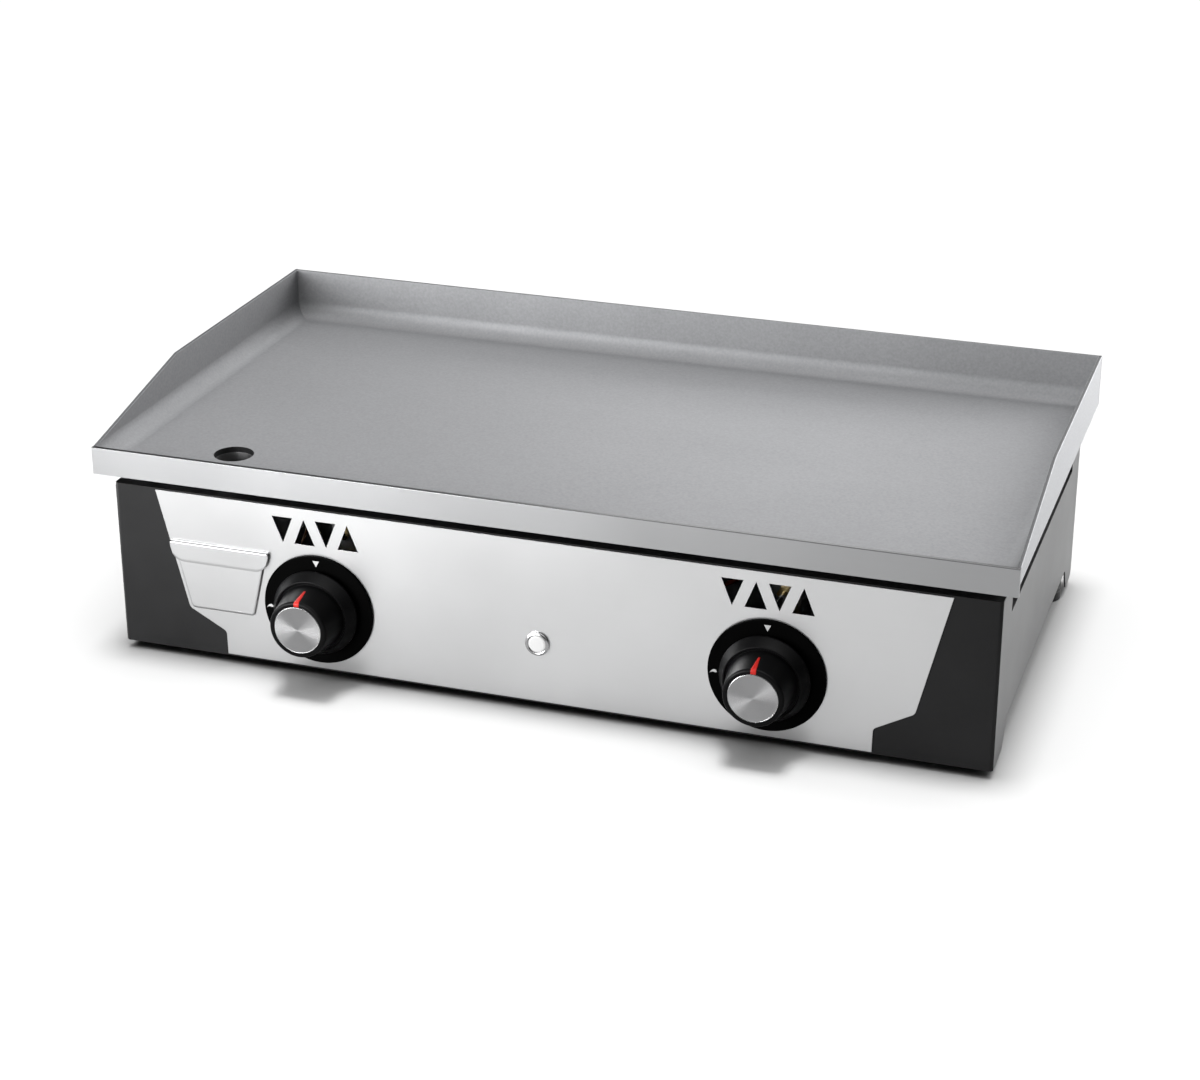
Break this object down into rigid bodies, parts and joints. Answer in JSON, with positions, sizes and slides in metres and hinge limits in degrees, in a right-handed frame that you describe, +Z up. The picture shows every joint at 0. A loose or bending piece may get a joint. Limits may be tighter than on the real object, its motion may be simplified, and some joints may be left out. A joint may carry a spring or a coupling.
{
  "type": "countertop griddle",
  "caption": "Countertop gas griddle: lift-off steel plate with splash walls and drain, over a low casing with push-and-turn taps, a spark igniter and a grease drawer.",
  "frame": {"origin": "on the counter, under the middle of the whole object", "axes": "X to the right seen from the front, Y from the front to the back, Z up"},
  "size_m": [0.8, 0.4766, 0.2262],
  "materials": {
    "ground_steel": "ground cooking surface with a fine grain",
    "stainless": "fine brushed stainless sheet",
    "plain_steel": "plain folded steel",
    "black_enamel": "satin black paint",
    "black_plastic": "smooth black moulding",
    "spun_aluminium": "radially spun",
    "red_paint": "gloss red",
    "brass": "turned",
    "copper": "drawn tube",
    "zinc_steel": "bright zinc",
    "spring_steel": "wire",
    "black_rubber": "moulded rubber",
    "chrome": "polished",
    "white_plastic": "smooth white moulding",
    "white_ceramic": "glazed insulator",
    "lead_cover": "silicone sleeve"
  },
  "bodies": {
    "casing": {"front_panel": "black_enamel", "front_fascia": "stainless", "side_panel_left": "stainless", "side_panel_right": "stainless", "rear_panel": "stainless", "rear_screws": "plain_steel", "base_tray": "plain_steel", "heat_shield": "plain_steel", "foot_front_left": "black_rubber", "foot_front_right": "black_rubber", "foot_rear_left": "black_rubber", "foot_rear_right": "black_rubber", "foot_screws": "plain_steel", "foot_nuts": "plain_steel", "bezel_left": "black_plastic", "bezel_right": "black_plastic", "tap_body_left": "brass", "tap_body_right": "brass", "feed_pipe_left": "spun_aluminium", "feed_pipe_right": "spun_aluminium", "injector_left": "brass", "injector_right": "brass", "burner_left": "plain_steel", "burner_right": "plain_steel", "gas_manifold": "zinc_steel", "supply_pipe": "copper", "gas_inlet": "brass", "injector_brackets": "plain_steel", "burner_brackets": "plain_steel", "electrodes": "white_ceramic", "thermocouples": "copper", "ignition_leads": "lead_cover", "igniter_bezel": "chrome", "igniter_nut": "plain_steel", "igniter_body": "white_plastic", "igniter_spring": "spring_steel", "drawer_cradle": "plain_steel"},
    "cooking_top": {"griddle_plate": "ground_steel", "splash_guard": "ground_steel", "front_apron": "stainless", "drain_cup": "stainless", "plate_standoffs": "black_enamel", "plate_stiffeners": "ground_steel"},
    "grease_drawer": {"grease_bin": "plain_steel", "drawer_front": "stainless"},
    "push_button": {"igniter_button": "white_plastic"},
    "left_tap": {"tap_plug_left": "brass", "tap_spring_left": "spring_steel"},
    "left_knob": {"tap_spindle_left": "brass", "knob_left": "black_plastic", "knob_cap_left": "spun_aluminium", "knob_pointer_left": "red_paint"},
    "right_tap": {"tap_plug_right": "brass", "tap_spring_right": "spring_steel"},
    "right_knob": {"tap_spindle_right": "brass", "knob_right": "black_plastic", "knob_cap_right": "spun_aluminium", "knob_pointer_right": "red_paint"}
  },
  "joints": [
    {"name": "tap_turn_left", "type": "hinge", "parent": "casing", "child": "left_tap", "pos_m": [-0.1984, -0.17, 0.0659], "axis": [0, -1, 0], "range_deg": [0, 180]},
    {"name": "knob_push_left", "type": "slide", "parent": "left_tap", "child": "left_knob", "axis": [0, 1, 0], "range_m": [0, 0.003], "stiffness_N_per_m": 400},
    {"name": "tap_turn_right", "type": "hinge", "parent": "casing", "child": "right_tap", "pos_m": [0.1984, -0.17, 0.0659], "axis": [0, -1, 0], "range_deg": [0, 180]},
    {"name": "knob_push_right", "type": "slide", "parent": "right_tap", "child": "right_knob", "axis": [0, 1, 0], "range_m": [0, 0.003], "stiffness_N_per_m": 400},
    {"name": "igniter_push", "type": "slide", "parent": "casing", "child": "push_button", "axis": [0, 1, 0], "range_m": [0, 0.0035], "stiffness_N_per_m": 300},
    {"name": "drawer_slide", "type": "slide", "parent": "casing", "child": "grease_drawer", "axis": [0, -1, 0], "range_m": [0, 0.12]},
    {"name": "top_lift", "type": "slide", "parent": "casing", "child": "cooking_top", "axis": [0, 0, 1], "range_m": [0, 0.06]}
  ]
}
